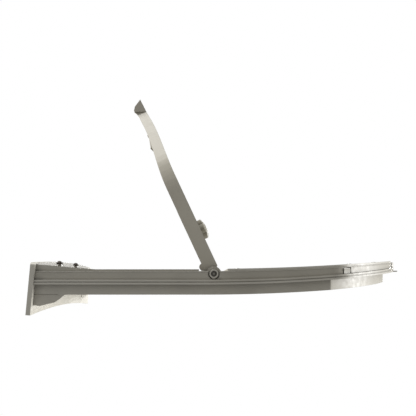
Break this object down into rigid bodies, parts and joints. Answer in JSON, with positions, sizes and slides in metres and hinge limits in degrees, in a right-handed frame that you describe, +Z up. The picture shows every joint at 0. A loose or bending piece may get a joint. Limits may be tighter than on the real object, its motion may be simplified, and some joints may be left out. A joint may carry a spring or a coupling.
{
  "type": "hinged access hatch cover",
  "caption": "Moulded plastic hatch cover with a rounded end, a crowned end plate, a plug-in skirt and a hinged door with a lobed latch knob.",
  "frame": {"origin": "on the seat plane, which is the underside of the front rail and of the rim flange, on the centre line, under the middle of the front rail", "axes": "+X from the end plate to the rounded end, +Y across the cover to its left side, +Z up out of the opening that it closes"},
  "size_m": [0.4952, 0.362, 0.277],
  "materials": {
    "grey_plastic": "satin, fine moulded grain",
    "inner_plastic": "matte, fine moulded grain",
    "door_plastic": "satin, fine moulded grain",
    "knob_plastic": "semi-gloss",
    "steel": "zinc-plated",
    "dark_steel": "dark oxide",
    "rubber": "matte, dark brown",
    "bush_plastic": "natural nylon"
  },
  "bodies": {
    "cover": {"rim_frame": "grey_plastic", "inner_rim": "inner_plastic", "door_seat": "inner_plastic", "front_rail": "inner_plastic", "rear_deck": "grey_plastic", "deck_ribs": "inner_plastic", "cross_ribs": "inner_plastic", "screw_posts": "inner_plastic", "cross_rail": "inner_plastic", "latch_strike": "steel", "corner_panel_right": "grey_plastic", "corner_panel_left": "grey_plastic", "end_plate": "grey_plastic", "corner_gusset_right": "grey_plastic", "corner_gusset_left": "grey_plastic", "hinge_boss_right": "grey_plastic", "hinge_boss_left": "grey_plastic", "hinge_screw_right": "dark_steel", "hinge_screw_left": "dark_steel", "hinge_nuts": "steel", "plate_screws": "steel", "deck_screws": "steel", "bumpers": "rubber", "snap_clip_right": "grey_plastic", "snap_clip_left": "grey_plastic", "rear_lug": "grey_plastic", "lug_screws": "steel", "rim_gasket": "rubber", "door_gasket": "rubber"},
    "door": {"door_shell": "door_plastic", "door_ribs": "inner_plastic", "door_cross_ribs": "inner_plastic", "tip_ribs": "door_plastic", "tip_lip": "door_plastic", "ear_bush_right": "bush_plastic", "ear_bush_left": "bush_plastic", "friction_washers": "steel", "knob_collar": "knob_plastic"},
    "latch": {"knob": "knob_plastic", "knob_spindle": "steel", "knob_washer": "steel", "latch_cam": "steel", "cam_nut": "steel"}
  },
  "joints": [
    {"name": "door_hinge", "type": "hinge", "parent": "cover", "child": "door", "pos_m": [0.21, 0, 0.0129], "axis": [0, -1, 0], "range_deg": [-50, 59]},
    {"name": "knob_turn", "type": "hinge", "parent": "door", "child": "latch", "pos_m": [0.18854, 0, 0.07737], "axis": [-0.9063, 0, -0.4226], "range_deg": [0, 90]}
  ]
}
